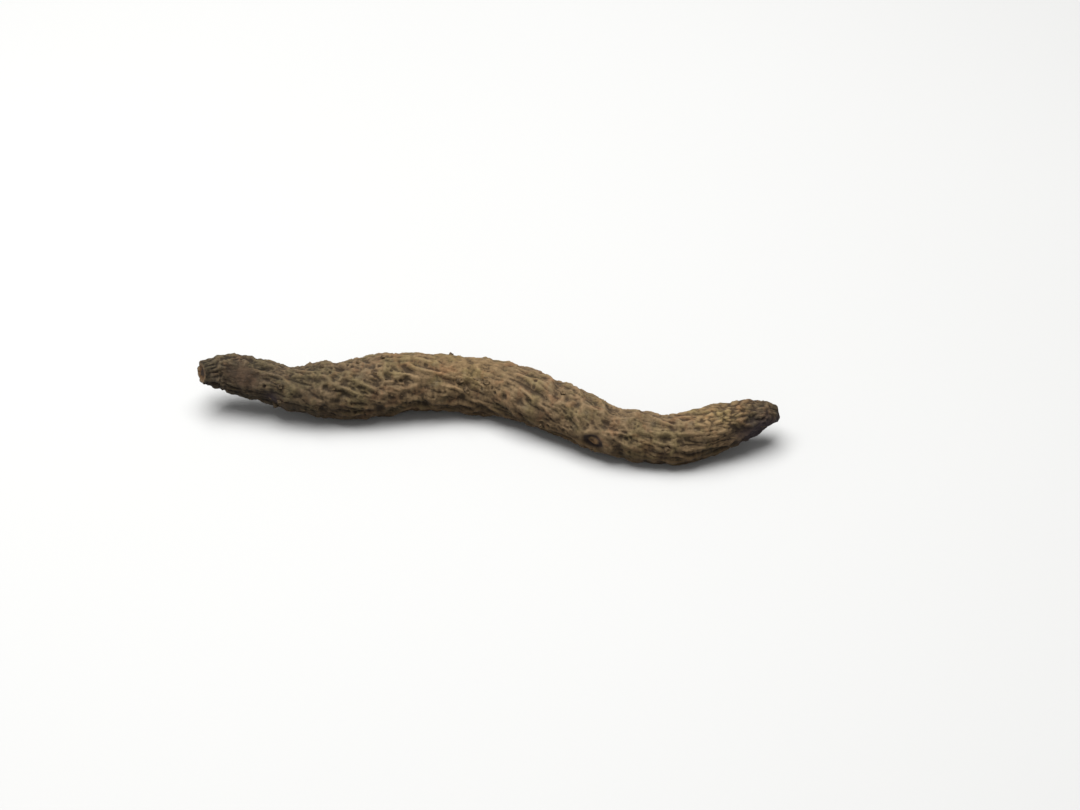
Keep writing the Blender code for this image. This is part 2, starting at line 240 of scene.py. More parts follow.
# The finest relief. Each kind's height is in shares of the fine height.
WARP = 0.6
CELL_WALL = 0.26  # width of the walls between the cells, and the share of their height below the bark
CELL_LEVEL = 0.35
CELLS_SHARE = 0.9
ROLL = 1.6  # height of the lengthwise rolls, and depth and width of the grooves between them
GROOVE = 0.9
GROOVE_WIDTH = 0.10
ROLLS_SHARE = (0.21, 0.70)  # these pairs are for bark that isn't striped, and for bark that is
CRINKLES_SHARE = (0.4125, 0.165)
CRINKLE = (0.5, 2.0)  # these pairs are a ridge's level, and its fall to the furrow beside it
ACROSS = (0.45, 2.2)
ACROSS_SHARE = 0.75
ROUGH_SHARE = 0.22
STRAND_TURN = 4.0  # degrees that the neck's strands turn round the root for each mm along
STRANDS = (2.0, 0.4)  # their height, and how much of it lies below the bark round them
STRANDS_SHARE = 1.1
DOME = 1.5  # how steeply the tip's knobs rise, their level and their height
DOME_LEVEL = 0.4
KNOBS_SHARE = 2.0
FINE_CALM = (0.25, 1.0)  # share of it that stays on calm bark, and on other bark
RUBBED_CALM = 0.3
FACE_CALM = 0.75

# Small pits: their radius, the rings each way that one may reach, and the odds of one outside pitted bark.
PIT_RADIUS_MM = (0.22, 0.52)
PIT_RINGS = 12
PIT_FIRST_RING = 30
PIT_ODDS = 0.25
PIT_PATCH = 0.2  # no pit lies where the bare patch is stronger than this
PIT_EDGE = (0.20, 1.1, 0.4)  # in radii: height of its rim, and where that lies and how wide it is
PIT_HOLLOW = (0.55, 0.7)  # in radii: its depth and width

# How strongly the material's ridges and furrows follow the relief. The dark furrows and pale ridges that this
# gives are partly painted shade and light of the relief, besides soil and rubbed bark.
NEAR_BLUR = 3  # rings and sides each way that the two averages take in
WIDE_BLUR = 9
SHARP = 1.3
SHARP_NECK = 1.0
NECK_END_MM = (26, 12)
SHARP_RUBBED = 0.4
SHARP_WIDE = 0.35
SHARP_KNOBS = 0.5

# Tints that multiply the bark's colours, and the colours of its marks and cut face. The underside's tint is
# painted shade, and the dark purple also paints shade in the groove round the eye boss.
PALE_TINT = (1.5, 1.46, 1.28)
DARK_TINT = (0.36, 0.38, 0.40)
ROOTLET_DARK_TINT = (0.38, 0.40, 0.42)
UNDERSIDE_SHADE_TINT = (0.42, 0.37, 0.28)
PURPLE_AND_SOCKET_SHADE = (0.019, 0.012, 0.014)
PITH = (0.022, 0.013, 0.008)
CUT_RIM = (0.16, 0.108, 0.058)

# Olive, red-brown and grey blotches of the bark: each one's noise (size in mm, detail, roughness and
# distortion), the noise levels where it sets in and is full, its strength, its colour and its blending.
BLOTCHES = (
    ((4.5, 3.0, 0.6, 0.0), (0.46, 0.62), 0.4, (0.80, 0.98, 0.72), "MULTIPLY"),
    ((3.1, 3.0, 0.6, 0.6), (0.5, 0.66), 0.8, (1.04, 0.88, 0.82), "MULTIPLY"),
    ((2.2, 4.0, 0.65, 0.0), (0.55, 0.75), 0.5, (0.110, 0.084, 0.055), "MIX"),
)


class RootBarkSettings(PropertyGroup):
    net_height: FloatProperty(
        name="Net height",
        description="How far the raised net stands out of the bark",
        default=0.6 * MM,
        min=0.0,
        unit="LENGTH",
        precision=5,
    )
    fine_height: FloatProperty(
        name="Fine relief",
        description="Height of the finest ridges, cells and wrinkles of the bark",
        default=0.24 * MM,
        min=0.0,
        unit="LENGTH",
        precision=5,
    )
    pits: IntProperty(
        name="Pits",
        description="Number of small pits where fine rootlets broke off",
        default=260,
        min=0,
    )
    scales: IntProperty(
        name="Bark scales",
        description="Number of loose scales of dry bark",
        default=190,
        min=0,
    )


class RootColourSettings(PropertyGroup):
    ridge: FloatVectorProperty(
        name="Ridges",
        description="Dry, rubbed bark on the ridges",
        subtype="COLOR",
        default=(0.160, 0.107, 0.055),
        min=0.0,
        max=1.0,
    )
    bark: FloatVectorProperty(
        name="Bark",
        description="The bark between ridges and furrows",
        subtype="COLOR",
        default=(0.101, 0.066, 0.033),
        min=0.0,
        max=1.0,
    )
    # The furrow colour, laid in the relief's low places, is partly painted shade besides dark bark and soil.
    furrow: FloatVectorProperty(
        name="Furrows",
        description="Dark bark and old soil down in the furrows and pits",
        subtype="COLOR",
        default=(0.036, 0.023, 0.012),
        min=0.0,
        max=1.0,
    )
    patch: FloatVectorProperty(
        name="Bare patch",
        description="Smooth brown skin where the old bark came off",
        subtype="COLOR",
        default=(0.038, 0.022, 0.012),
        min=0.0,
        max=1.0,
    )
    cut: FloatVectorProperty(
        name="Cut face",
        description="The dried flesh of the cut crown",
        subtype="COLOR",
        default=(0.085, 0.045, 0.018),
        min=0.0,
        max=1.0,
    )


class RootStageSettings(PropertyGroup):
    floor_colour: FloatVectorProperty(
        name="Floor",
        description="Colour of the plain floor",
        subtype="COLOR",
        default=(0.45, 0.45, 0.445),
        min=0.0,
        max=1.0,
    )
    floor_width: FloatProperty(
        name="Floor width",
        description="Side of the square floor",
        default=6.0,
        min=0.1,
        unit="LENGTH",
    )
    camera_elevation: FloatProperty(
        name="Camera elevation",
        description="How far above the horizon the camera stands",
        default=math.radians(42),
        subtype="ANGLE",
    )


def smooth(values, place):
    """A row of numbers read at a place between them, on a Catmull-Rom curve."""
    last = len(values) - 1
    i = min(int(place), last - 1)
    f = place - i
    a, b, c, d = (values[min(max(i + k, 0), last)] for k in (-1, 0, 1, 2))
    return 0.5 * (2 * b + (c - a) * f + (2 * a - 5 * b + 4 * c - d) * f**2 + (3 * b - a - 3 * c + d) * f**3)


def bell(x):
    return np.exp(-np.square(x))


def step(x, low, high):
    """0 below low and 1 above high, with a smooth rise between them."""
    t = np.clip((x - low) / (high - low), 0.0, 1.0)
    return t * t * (3 - 2 * t)


def darkness(along):
    """How much darker the bark is towards the crown and at the tip, from 0 up."""
    return np.clip(sum(strength * step(along, start, full) for strength, start, full in DARKER), 0, DARKEST)


def between(share, low, high):
    return low + (high - low) * share


def apart(angle, other):
    """The turn from one angle to another, between minus half a turn and half a turn."""
    return (angle - other + math.pi) % math.tau - math.pi


class MiddleLine:
    """The root's middle line, read by the distance along it from the crown, in mm."""

    def __init__(self, stations):
        columns = list(zip(*stations))
        steps = (len(stations) - 1) * FINE_STEPS
        rows = [[smooth(column, i / FINE_STEPS) for column in columns] for i in range(steps + 1)]
        self.points = [Vector(row[:3]) for row in rows]
        self.radii = [row[3] for row in rows]
        self.along = [0.0]
        for before, after in zip(self.points, self.points[1:]):
            self.along.append(self.along[-1] + (after - before).length)
        self.length = self.along[-1]

    def at(self, distance):
        """The point, radius, forward direction, upward direction and front direction there."""
        distance = min(max(distance, 0.0), self.length)
        i = 1
        while self.along[i] < distance and i < len(self.along) - 1:
            i += 1
        f = (distance - self.along[i - 1]) / (self.along[i] - self.along[i - 1])
        point = self.points[i - 1].lerp(self.points[i], f)
        radius = self.radii[i - 1] * (1 - f) + self.radii[i] * f
        forward = self.points[min(i + 3, len(self.points) - 1)] - self.points[max(i - 4, 0)]
        forward.normalize()
        front = forward.cross(Vector((0, 0, 1))).normalized()
        return point, radius, forward, front.cross(forward), front


def outline(line):
    """(distance along, radius) from the middle of the crown's cut face, over its rim and down to the tip."""
    rim = line.radii[0]
    rows = [(DISH_MM * depth, rim * share) for depth, share in FACE]
    rows.append((EDGE[0], rim * EDGE[1]))
    end = line.length - TIP_ROUND_MM
    body = [(a, r) for a, r in zip(line.along, line.radii) if SIDE_FROM_MM < a < end]
    rows += body
    end_along, end_radius = body[-1]
    for k in range(1, TIP_STEPS + 1):
        turn = k / TIP_STEPS * math.pi / 2
        rows.append((end_along + TIP_ROUND_MM * math.sin(turn), end_radius * math.cos(turn)))
    return rows


def spread_evenly(rows, count):
    """The rows resampled to count + 1 rows, evenly spaced along the outline."""
    gone = [0.0]
    for (a, r), (b, q) in zip(rows, rows[1:]):
        gone.append(gone[-1] + math.hypot(b - a, q - r))
    spread, i = [], 1
    for k in range(count + 1):
        want = gone[-1] * k / count
        while gone[i] < want and i < len(gone) - 1:
            i += 1
        f = (want - gone[i - 1]) / (gone[i] - gone[i - 1])
        (a, r), (b, q) = rows[i - 1], rows[i]
        spread.append((a + (b - a) * f, r + (q - r) * f))
    return spread


def slopes(rows):
    """The outline's direction at each row, as unit (along, outward) pairs."""
    found = []
    for i in range(len(rows)):
        (a, r), (b, q) = rows[max(i - 1, 0)], rows[min(i + 1, len(rows) - 1)]
        size = math.hypot(b - a, q - r)
        found.append(((b - a) / size, (q - r) / size))
    return found


class Bark:
    """The bark as a grid of rings by sides, in mm: its points, and the masks that its material reads."""

    def __init__(self, net_mm, fine_mm, pits):
        self.line = MiddleLine(STATIONS_MM)
        self.net_mm = net_mm
        self.fine_mm = fine_mm
        self.pit_count = pits
        rows = spread_evenly(outline(self.line), BARK_RINGS)
        self.along = np.array([row[0] for row in rows])[:, None]
        self.radius = np.array([row[1] for row in rows])[:, None]
        self.angle = (np.arange(BARK_SIDES) * math.tau / BARK_SIDES)[None, :]
        self.set_frames(slopes(rows))
        self.set_zones()
        self.shape()

    def set_frames(self, slope_rows):
        """The middle line's point and directions at each ring."""
        spots = [self.line.at(a) for a in self.along[:, 0]]
        middle, full, forward, up, front = (np.array([spot[k] for spot in spots]) for k in range(5))
        self.full = full[:, None]
        upward, frontward = np.cos(self.angle)[..., None], np.sin(self.angle)[..., None]
        outward = up[:, None] * upward + front[:, None] * frontward
        slope = np.array(slope_rows)
        self.plain = middle[:, None] + outward * self.radius[..., None]
        self.normal = outward * slope[:, 0, None, None] - forward[:, None] * slope[:, 1, None, None]
        self.face = step(self.radius / self.full, *FACE_RADIUS) * step(self.along, *FACE_END_MM)
        self.face = self.face + 0 * self.angle

    def near(self, along, degrees, half_length, half_turn=None):
        """1 at that place, falling off within the half length in mm and the half turn in radians."""
        share = bell((self.along - along) / half_length) + 0 * self.angle
        if half_turn is not None:
            share = share * bell(apart(self.angle, math.radians(degrees)) / half_turn)
        return share

    def set_zones(self):
        """How far each kind of bark reaches: pitted, striped, bare, stringy, knobbly and wrinkled across."""
        drift = self.field(*DRIFT_FIELD)
        self.rubbed = self.near(*RUBBED)
        pitted = self.near(*PITTED) + LESSER_ZONE * self.near(*PITTED_WAIST)
        self.pitted = step(drift + pitted - self.rubbed, 0.0, ZONE_EDGE[0])
        striped = self.near(*STRIPED) + LESSER_ZONE * self.near(*STRIPED_TIP)
        self.striped = step(striped - drift, 0.0, ZONE_EDGE[1])
        place, side, half_length, half_width = PATCH
        gap = np.hypot(
            (self.along - place) / half_length,
            apart(self.angle, math.radians(side)) * self.radius / half_width,
        )
        self.patch = bell(gap**2)
        self.stringy = (1 - step(self.along, *STRINGS_END_MM)) * (1 - self.patch)
        place, side, size = EYE
        gap = np.hypot(self.along - place, apart(self.angle, math.radians(side)) * self.radius) / size
        self.boss = bell(gap**2)
        self.socket = bell((gap - SOCKET_AT) / SOCKET_WIDTH)
        self.pitted *= 1 - bell(gap / SOCKET_REACH)
        self.knobbly = self.near(*KNOBBLY)
        crown = CROSSED_CROWN_SHARE * self.near(*CROSSED_CROWN) * (1 - self.patch)
        self.crossed = np.clip(sum(self.near(*zone) for zone in CROSSED) + CROSSED_ALL + crown, 0, 1)

    def places(self, length, width, offset=(0, 0, 0), turn=NET_TURN_DEG_PER_MM):
        """Noise coordinates that run round the root without a seam, stretched to that length and width."""
        turned = self.angle + math.radians(turn) * self.along
        x = self.along / length + offset[0] + 0 * turned
        y = self.radius * np.cos(turned) / width + offset[1]
        z = self.radius * np.sin(turned) / width + offset[2]
        return np.stack([x, y, z], axis=-1)

    def field(self, length, width, offset=(0, 0, 0), turn=NET_TURN_DEG_PER_MM, warp=None):
        """Smooth noise over the bark, from about -1 to 1, with features of that length and width in mm."""
        places = self.places(length, width, offset, turn)
        if warp is not None:
            places[..., 0] += warp
            places[..., 1] += warp
        values = [noise.noise(place) for place in places.reshape(-1, 3).tolist()]
        return np.array(values).reshape(places.shape[:2])

    def cells(self, length, width, offset, warp):
        """The difference between the distances to the nearest two cell middles: 0 on the cells' borders."""
        places = self.places(length, width, offset)
        places += warp[..., None]
        near = [noise.voronoi(place)[0] for place in places.reshape(-1, 3).tolist()]
        near = np.array([(d[0], d[1]) for d in near]).reshape(*places.shape[:2], 2)
        return near[..., 1] - near[..., 0]

    def broad_relief(self):
        """The relief that the solid has: creases, scars, patch, collar, lumps and net."""
        along, angle, radius = self.along, self.angle, self.radius
        self.uneven = self.field(*UNEVEN_FIELD)
        height = np.zeros((len(along), BARK_SIDES))
        calm = np.ones_like(height)
        draw = random.Random(SEED)
        place = CREASE_FIRST_MM
        while place < self.line.length - CREASE_LAST_MM:
            side = draw.uniform(0, math.tau)
            gap = (along - place - CREASE_WAVE_MM * np.sin(2 * angle + side)) / CREASE_WIDTH_MM
            share = between(0.5 + 0.5 * np.cos(angle - side), *CREASE_DEPTHS)
            rolls = CREASE_ROLL * bell((np.abs(gap) - CREASE_ROLL_AT) / CREASE_ROLL_WIDTH)
            height -= CREASE_MM * share * (bell(gap) - rolls)
            place += draw.uniform(*CREASE_GAP_MM)
        for place, side, size, pit, rim in self.scar_rows():
            rows = np.abs(along[:, 0] - place) < SCAR_REACH * size
            gap = np.hypot(along[rows] - place, apart(angle, side) * radius[rows]) / size
            gap *= 1 + (UNEVEN_PORE if rim == PORE_RIM else UNEVEN_SCAR) * self.uneven[rows]
            height[rows] += size * (rim * bell((gap - RIM_AT) / RIM_WIDTH) - pit * bell(gap / PIT_WIDTH))
            calm[rows] = np.minimum(calm[rows], 1 - SCAR_CALM * bell(gap / CALM_WIDTH))
        height -= PATCH_DEPTH_MM * self.patch
        calm = np.minimum(calm, 1 - PATCH_CALM * self.patch)
        knobs = 0.5 + 0.5 * np.sin(COLLAR_KNOBS * angle + along)
        height += calm * COLLAR_MM * knobs * bell((along - COLLAR_AT_MM) / COLLAR_WIDTH_MM)
        string = np.abs(np.sin(STRINGS / 2 * angle + STRING_TURN_PER_MM * along)) - STRING_LEVEL
        height += calm * STRING_MM * string * (1 - step(along, *STRINGS_END_MM))
        height += EYE_BOSS_MM * self.boss
        lump = self.field(LUMP_LENGTH_MM, LUMP_WIDTH_MM)
        wander = WANDER * self.field(WANDER_LENGTH_MM, WANDER_WIDTH_MM, (0, 9.0, 0))
        places = self.places(NET_LENGTH_MM, NET_WIDTH_MM, (0, 0, 5.0))
        places[..., 1] += wander
        ridge = np.array([abs(noise.noise(p)) for p in places.reshape(-1, 3).tolist()])
        ridge = ridge.reshape(height.shape)
        self.calm = calm
        return calm * (LUMP_MM * lump + self.net_mm * (NET_LEVEL - NET_FALL * ridge)) + height

    def scar_rows(self):
        """(distance along, angle, radius, pit, rim) for the large scars and then the pores."""
        draw = random.Random(SEED + 2)
        found = [(along, math.radians(side), radius, SCAR_PIT, SCAR_RIM) for along, side, radius in SCARS]
        for _ in range(PORES):
            along = draw.uniform(PORES_FROM_MM, self.line.length - PORES_TO_MM)
            side, radius = draw.uniform(0, math.tau), draw.uniform(*PORE_RADIUS_MM)
            found.append((along, side, radius, PORE_PIT, PORE_RIM))
        return found

    def fine_relief(self):
        """What is too fine for the solid: cells, ridges both ways, crinkles, strands, knobs and pits."""
        warp = WARP * self.field(*WARP_FIELD)
        netted = bell(self.cells(*NET_CELLS, warp) / CELL_WALL) - CELL_LEVEL
        roll = self.field(*ROLL_FIELD, warp=0.5 * warp)
        rolls = ROLL * np.abs(roll) - GROOVE * bell(roll / GROOVE_WIDTH)
        across = ACROSS[0] - ACROSS[1] * np.abs(self.field(*ACROSS_FIELD, warp=0.7 * warp))
        crinkle = CRINKLE[0] - CRINKLE[1] * np.abs(self.field(*CRINKLE_FIELD, warp=warp))
        rough = self.field(*ROUGH_FIELD)
        strand = np.abs(self.field(*STRAND_FIELD, turn=STRAND_TURN, warp=0.4 * warp))
        dome = np.clip(DOME * self.cells(*KNOB_CELLS, warp), 0, 1)
        self.knobs = self.knobbly * (dome - DOME_LEVEL) * (1 + rough)
        height = CELLS_SHARE * self.pitted * netted + between(self.striped, *ROLLS_SHARE) * rolls
        height += ACROSS_SHARE * self.crossed * across + between(self.striped, *CRINKLES_SHARE) * crinkle
        height += STRANDS_SHARE * self.stringy * (STRANDS[0] * strand - STRANDS[1])
        height += ROUGH_SHARE * rough + KNOBS_SHARE * self.knobs
        height *= self.fine_mm * between(self.calm, *FINE_CALM) * (1 - RUBBED_CALM * self.rubbed)
        height += self.small_pits() - SOCKET_MM * self.socket
        return height * (1 - FACE_CALM * self.face)

    def small_pits(self):
        """Small round pits with a low rim, most of them where the bark is pitted."""
        draw = random.Random(SEED + 5)
        height = np.zeros((len(self.along), BARK_SIDES))
        made = 0
        while made < self.pit_count:
            row = draw.randrange(PIT_FIRST_RING, BARK_RINGS - PIT_RINGS)
            column = draw.randrange(BARK_SIDES)
            size = draw.uniform(*PIT_RADIUS_MM)
            odds = between(self.pitted[row, column], PIT_ODDS, 1.0)
            if draw.random() > odds or self.patch[row, column] > PIT_PATCH:
                continue
            made += 1
            rows = slice(max(row - PIT_RINGS, 0), row + PIT_RINGS + 1)
            along, around = self.along[rows], apart(self.angle, self.angle[0, column]) * self.radius[rows]
            gap = np.hypot(along - self.along[row, 0], around) / size * (1 + UNEVEN_PORE * self.uneven[rows])
            edge = PIT_EDGE[0] * bell((gap - PIT_EDGE[1]) / PIT_EDGE[2])
            height[rows] += size * (edge - PIT_HOLLOW[0] * bell(gap / PIT_HOLLOW[1]))
        return height

    def shape(self):
        """Moves the smooth root's points out by the relief, and settles the underside on its feet."""
        nearest = np.min(
            [
                np.hypot((self.plain[..., 0] - x) / FOOT_LENGTH_MM, (self.plain[..., 1] - y) / FOOT_WIDTH_MM)
                for x, y in FEET_MM
            ],
            axis=0,
        )
        foot = bell(nearest) * bell(np.maximum(self.plain[..., 2], 0) / FOOT_REACH_MM)
        fade = np.minimum(1, self.radius / self.full + END_RELIEF)
        fade = fade * (1 - RIM_CALM * bell(self.along / RIM_CALM_MM)) * (1 - FOOT_CALM * foot)
        relief = self.broad_relief()
        relief = relief + self.fine_relief()
        self.points = self.plain + self.normal * (relief * fade)[..., None]
        z = self.points[..., 2]
        above = CLEAR_SOFT_MM * np.log1p(np.exp(np.minimum((z - CLEAR_MM) / CLEAR_SOFT_MM, EXP_LIMIT)))
        lifted = np.where(z > CLEAR_BELOW_MM, z, CLEAR_MM + above) - FOOT_MM * foot
        self.points[..., 2] = np.maximum(lifted, 0.0)
        self.set_masks(relief)

    def blurred(self, height, reach):
        """The height averaged over that many rings and sides each way."""
        total = np.zeros_like(height)
        for shift in range(-reach, reach + 1):
            total += np.roll(height, shift, axis=1)
        padded = np.pad(total, ((reach, reach), (0, 0)), mode="edge")
        sums = np.cumsum(np.vstack([np.zeros((1, BARK_SIDES)), padded]), axis=0)
        window = 2 * reach + 1
        return (sums[window:] - sums[:-window]) / window**2

    def set_masks(self, height):
        """What the material reads at each point, each from 0 to 1."""
        along, angle = self.along, self.angle
        near = height - self.blurred(height, NEAR_BLUR)
        wide = height - self.blurred(height, WIDE_BLUR)
        sharp = SHARP + SHARP_NECK * step(along, *NECK_END_MM) - SHARP_RUBBED * self.rubbed
        # Partly painted shade and light: the colour goes darker in the relief's low places and paler on its
        # crests and knobs, besides the bark's own darker furrows and rubbed ridges.
        self.crest = np.clip(0.5 + sharp * near + SHARP_WIDE * wide + SHARP_KNOBS * self.knobs, 0, 1)
        # Painted shade: the bark's colour is darkened where it faces down, as if the underside lay in shade.
        self.under = step(-self.normal[..., 2], *SHADED_UNDERSIDE)
        self.dark = darkness(along) + 0 * angle
        purple = np.clip(sum(strength * self.near(*zone) for strength, zone in PURPLE), 0, 1)
        # The socket groove round the eye boss takes the dark purple as painted shade.
        self.purple = np.maximum(purple, SOCKET_SHADE * self.socket)
        pale = sum(strength * self.near(*zone) for strength, zone in PALE)
        self.pale = np.clip(pale + PALE_BOSS * self.boss, 0, 1)
        self.ring = self.radius / self.full + 0 * angle

    def at(self, along, angle):
        """The bark's point there and its outward and forward directions, as vectors in mm."""
        first, last = SIDE_RINGS
        row = int(np.searchsorted(self.along[first:last, 0], along)) + first
        column = int(round(angle / math.tau * BARK_SIDES)) % BARK_SIDES
        point = Vector(self.points[row, column])
        ahead = Vector(self.points[row + 4, column]) - Vector(self.points[row - 4, column])
        across = Vector(self.points[row, (column + 4) % BARK_SIDES]) - Vector(self.points[row, column - 4])
        return point, across.cross(ahead).normalized(), ahead.normalized()


@lru_cache
def bark_grid(net_mm, fine_mm, pits):
    return Bark(net_mm, fine_mm, pits)


def made_bark(settings):
    """The bark for these settings, made once and kept for the pieces that lie on it."""
    return bark_grid(settings.net_height / MM, settings.fine_height / MM, settings.pits)


def linked(name, mesh):
    piece = bpy.data.objects.new(name, mesh)
    bpy.context.scene.collection.objects.link(piece)
    return piece


def dressed(piece, material):
    """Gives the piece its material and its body."""
    piece.data.materials.append(material)
    piece.data.shade_smooth()
    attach(piece, BODY)
    return piece


def mask(mesh, name, values):
    """Stores one number a vertex for the material to read."""
    layer = mesh.attributes.new(name, "FLOAT", "POINT")
    layer.data.foreach_set("value", np.asarray(values, dtype=np.float32).ravel())


class Nodes:
    """Adds and links the nodes of one material."""

    def __init__(self, name):
        self.material = bpy.data.materials.new(name)
        self.material.use_nodes = True
        self.tree = self.material.node_tree
        self.shader = self.tree.nodes["Principled BSDF"]
        self.coordinates = self.tree.nodes.new("ShaderNodeTexCoord").outputs["Object"]

    def put(self, socket, value):
        if isinstance(value, bpy.types.NodeSocket):
            self.tree.links.new(value, socket)
        elif socket.type == "RGBA" and len(value) == 3:
            socket.default_value = (*value, 1.0)
        else:
            socket.default_value = value

    def add(self, kind, settings=None, **inputs):
        node = self.tree.nodes.new(kind)
        for key, value in (settings or {}).items():
            setattr(node, key, value)
        for key, value in inputs.items():
            self.put(node.inputs[key.replace("_", " ")], value)
        return node

    def read(self, name):
        return self.add("ShaderNodeAttribute", {"attribute_name": name}).outputs["Fac"]

    def noise(self, size_mm, detail=4.0, roughness=0.6, distortion=0.0, stretch=1.0):
        """Noise with features of that size, from 0 to 1, drawn out along the root by the stretch."""
        place = self.add("ShaderNodeMapping", Vector=self.coordinates, Scale=(1 / stretch, 1.0, 1.0))
        node = self.add(
            "ShaderNodeTexNoise",
            Vector=place.outputs["Vector"],
            Scale=1 / (size_mm * MM),
            Detail=detail,
            Roughness=roughness,
            Distortion=distortion,
        )
        return node.outputs["Fac"]

    def range(self, value, low, high, to_low=0.0, to_high=1.0):
        node = self.add("ShaderNodeMapRange", {"interpolation_type": "SMOOTHSTEP"}, Value=value)
        for key, number in (("From Min", low), ("From Max", high), ("To Min", to_low), ("To Max", to_high)):
            self.put(node.inputs[key], number)
        return node.outputs["Result"]

    def math(self, operation, first, second):
        node = self.add("ShaderNodeMath", {"operation": operation})
        self.put(node.inputs[0], first)
        self.put(node.inputs[1], second)
        return node.outputs[0]

    def mix(self, share, first, second, blend="MIX"):
        """The two colours mixed. The node keeps its colours in sockets 6, 7 and 2."""
        node = self.add("ShaderNodeMix", {"data_type": "RGBA", "blend_type": blend})
        self.put(node.inputs["Factor"], share)
        self.put(node.inputs[6], first)
        self.put(node.inputs[7], second)
        return node.outputs[2]

    def bump(self, height, distance_mm, strength, normal=None):
        node = self.add("ShaderNodeBump", Height=height, Distance=distance_mm * MM, Strength=strength)
        if normal is not None:
            self.put(node.inputs["Normal"], normal)
        return node.outputs["Normal"]


def bark_material(colours):
    """Wrinkled dry bark: dark furrows and tan ridges, partly painted shade and light of the relief, olive,
    red-brown and grey blotches, painted shade on the underside and in the groove round the eye boss, and the
    cut face.
    """
    nodes = Nodes("root_bark_skin")
    crest, dark, pale = nodes.read("crest"), nodes.read("dark"), nodes.read("pale")
    grain = nodes.noise(0.55, 6.0, 0.7)
    # The colour follows the relief, so its low places get painted shade as well as dark bark and soil.
    level = nodes.math("ADD", crest, nodes.range(grain, 0.25, 0.75, -0.15, 0.15))
    colour = nodes.mix(nodes.range(level, 0.18, 0.52), colours.furrow, colours.bark)
    colour = nodes.mix(nodes.range(level, 0.45, 0.85), colour, colours.ridge)
    for spots, levels, strength, tint, blend in BLOTCHES:
        share = nodes.range(nodes.noise(*spots), *levels, 0.0, strength)
        colour = nodes.mix(share, colour, tint, blend)
    soil = nodes.range(nodes.noise(1.3, 5.0, 0.7), 0.5, 0.66)
    soil = nodes.math("MULTIPLY", soil, nodes.range(level, 0.75, 0.2))
    colour = nodes.mix(nodes.math("MULTIPLY", soil, 0.7), colour, colours.furrow)
    colour = nodes.mix(nodes.math("MULTIPLY", pale, 0.8), colour, PALE_TINT, "MULTIPLY")
    dark = nodes.math("MULTIPLY", dark, nodes.range(nodes.noise(0.9, 4.0, 0.7), 0.38, 0.62, 0.72, 1.15))
    colour = nodes.mix(dark, colour, DARK_TINT, "MULTIPLY")
    # Painted shade on the bark that faces down.
    under = nodes.math("MULTIPLY", nodes.read("under"), 0.9)
    colour = nodes.mix(under, colour, UNDERSIDE_SHADE_TINT, "MULTIPLY")
    streak = nodes.range(nodes.noise(0.9, 4.0, 0.6, 0.8, 2.0), 0.35, 0.65, 0.5, 1.5)
    bare = nodes.mix(1.0, colours.patch, streak, "MULTIPLY")
    colour = nodes.mix(nodes.math("MULTIPLY", nodes.read("patch"), 0.85), colour, bare)
    # Dark purple on the lower front of the tip and by the crown, and painted shade in the socket groove round
    # the eye boss.
    colour = nodes.mix(nodes.math("MULTIPLY", nodes.read("purple"), 0.92), colour, PURPLE_AND_SOCKET_SHADE)
    uneven = nodes.range(nodes.noise(0.7, 4.0, 0.6), 0.2, 0.8, -0.18, 0.18)
    ring = nodes.math("ADD", nodes.read("ring"), uneven)
    flesh = nodes.mix(nodes.range(ring, 0.28, 0.5), PITH, colours.cut)
    flesh = nodes.mix(nodes.range(ring, 0.62, 0.8), flesh, CUT_RIM)
    colour = nodes.mix(nodes.read("face"), colour, flesh)
    nodes.put(nodes.shader.inputs["Base Color"], colour)
    nodes.put(nodes.shader.inputs["Roughness"], nodes.range(level, 0.1, 0.9, 0.95, 0.80))
    nodes.shader.inputs["Specular IOR Level"].default_value = 0.28
    rough = nodes.bump(nodes.noise(0.35, 5.0, 0.7), 0.13, 0.8)
    rough = nodes.bump(nodes.noise(0.3, 3.0, 0.6, 0.5, 4.0), 0.13, 0.8, rough)
    nodes.put(nodes.shader.inputs["Normal"], nodes.bump(nodes.noise(0.11, 3.0, 0.6), 0.03, 0.6, rough))
    return nodes.material


def rootlet_material(colours):
    """Rootlet skin, with a paler fibrous broken end."""
    nodes = Nodes("rootlet_skin")
    end = nodes.read("broken_end")
    grain = nodes.noise(0.4, 5.0, 0.7)
    skin = nodes.mix(nodes.range(grain, 0.35, 0.65), colours.furrow, colours.bark)
    pith = nodes.mix(nodes.range(nodes.noise(0.18, 3.0, 0.6), 0.4, 0.6), colours.bark, colours.ridge)
    colour = nodes.mix(nodes.math("MULTIPLY", end, 0.7), skin, pith)
    colour = nodes.mix(nodes.read("dark"), colour, ROOTLET_DARK_TINT, "MULTIPLY")
    nodes.put(nodes.shader.inputs["Base Color"], colour)
    nodes.shader.inputs["Roughness"].default_value = 0.9
    nodes.shader.inputs["Specular IOR Level"].default_value = 0.25
    nodes.put(nodes.shader.inputs["Normal"], nodes.bump(grain, 0.08, 0.7))
    return nodes.material


def scale_material(colours):
    """Loose scales of dry bark, a little paler than what they lift from."""
    nodes = Nodes("bark_scale")
    grain = nodes.noise(0.5, 5.0, 0.7)
    colour = nodes.mix(nodes.range(grain, 0.3, 0.7), colours.bark, colours.ridge)
    tone = nodes.range(nodes.noise(6.0, 2.0, 0.5), 0.3, 0.7, 0.55, 1.1)
    nodes.put(nodes.shader.inputs["Base Color"], nodes.mix(1.0, colour, tone, "MULTIPLY"))
    nodes.shader.inputs["Roughness"].default_value = 0.88
    nodes.shader.inputs["Specular IOR Level"].default_value = 0.25
    nodes.put(nodes.shader.inputs["Normal"], nodes.bump(grain, 0.06, 0.6))
    return nodes.material


